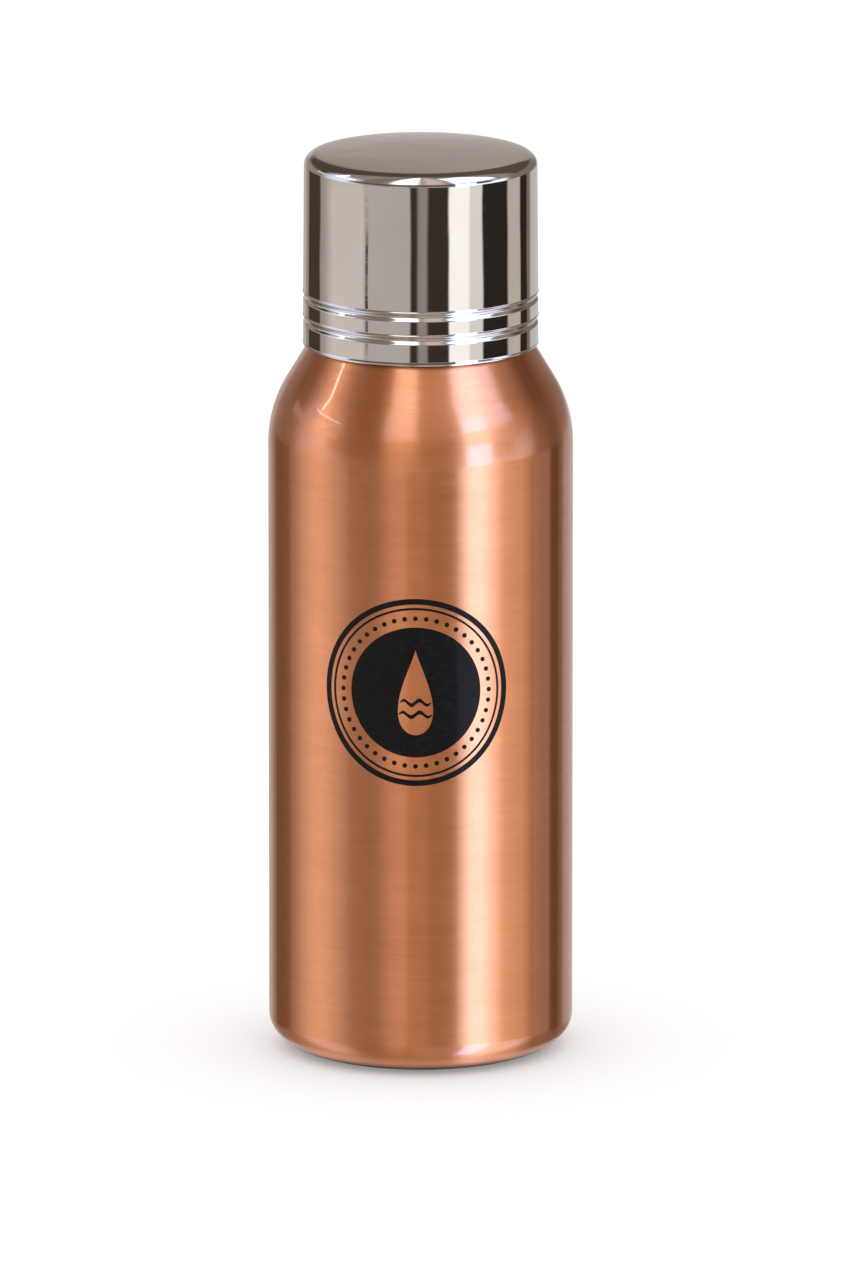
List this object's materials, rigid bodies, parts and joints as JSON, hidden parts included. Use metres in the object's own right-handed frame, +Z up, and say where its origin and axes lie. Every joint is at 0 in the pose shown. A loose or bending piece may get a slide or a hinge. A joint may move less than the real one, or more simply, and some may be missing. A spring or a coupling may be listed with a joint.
{
  "type": "insulated water bottle",
  "caption": "Insulated metal water bottle: rounded cylinder with a conical shoulder, screw-on grooved steel cup lid over a push-button pouring stopper",
  "frame": {"origin": "centre of the standing ring, on the surface the bottle stands on", "axes": "+Z up along the bottle's axis of revolution; X and Y across it, the printed mark faces -Y"},
  "size_m": [0.07, 0.07, 0.2101],
  "materials": {
    "copper_body": "fine round-brushed copper under clear gloss lacquer",
    "copper_trim": "copper-plated plastic, satin",
    "print_ink": "black pad-printed ink",
    "polished_steel": "mirror-polished stainless steel",
    "satin_steel": "satin electropolished stainless steel",
    "foil": "bright copper foil",
    "getter_grey": "sintered grey metal",
    "black_plastic": "fine-grained moulded polypropylene",
    "silicone": "translucent white silicone",
    "foam": "white foamed polystyrene"
  },
  "bodies": {
    "bottle": {"outer_shell": "copper_body", "outer_foot": "copper_body", "base_plate": "satin_steel", "outer_bottom": "satin_steel", "vacuum_plug": "satin_steel", "getter": "getter_grey", "liner": "satin_steel", "liner_neck": "satin_steel", "liner_bottom": "satin_steel", "reflector_foil": "foil"},
    "cup_ring": {"cup_seal": "silicone"},
    "cup": {"cup_shell": "polished_steel", "inner_cup": "black_plastic"},
    "stopper_ring": {"stopper_gasket": "silicone"},
    "stopper": {"stopper_body": "black_plastic", "stopper_insulation": "foam", "stopper_base": "black_plastic", "stem_seal": "silicone", "button_spring": "satin_steel"},
    "button": {"push_button": "copper_trim", "valve_stem": "satin_steel", "valve_disc": "black_plastic", "valve_seal": "silicone"}
  },
  "joints": [
    {"name": "cup_rise", "type": "slide", "parent": "bottle", "child": "cup_ring", "axis": [0, 0, 1], "range_m": [0, 0.048]},
    {"name": "cup_turn", "type": "hinge", "parent": "cup_ring", "child": "cup", "pos_m": [0, 0, 0.175], "axis": [0, 0, 1], "range_deg": [0, 1440]},
    {"name": "stopper_rise", "type": "slide", "parent": "bottle", "child": "stopper_ring", "axis": [0, 0, 1], "range_m": [0, 0.0162]},
    {"name": "stopper_turn", "type": "hinge", "parent": "stopper_ring", "child": "stopper", "pos_m": [0, 0, 0.175], "axis": [0, 0, 1], "range_deg": [0, 810]},
    {"name": "button_press", "type": "slide", "parent": "stopper", "child": "button", "axis": [0, 0, -1], "range_m": [0, 0.0026], "stiffness_N_per_m": 1200, "springref_m": -0.002, "deforming": ["button_spring"]}
  ],
  "couplings": [
    {"joint": "cup_turn", "follows": "cup_rise", "rad_per_m": 523.6},
    {"joint": "stopper_turn", "follows": "stopper_rise", "rad_per_m": 872.66}
  ]
}
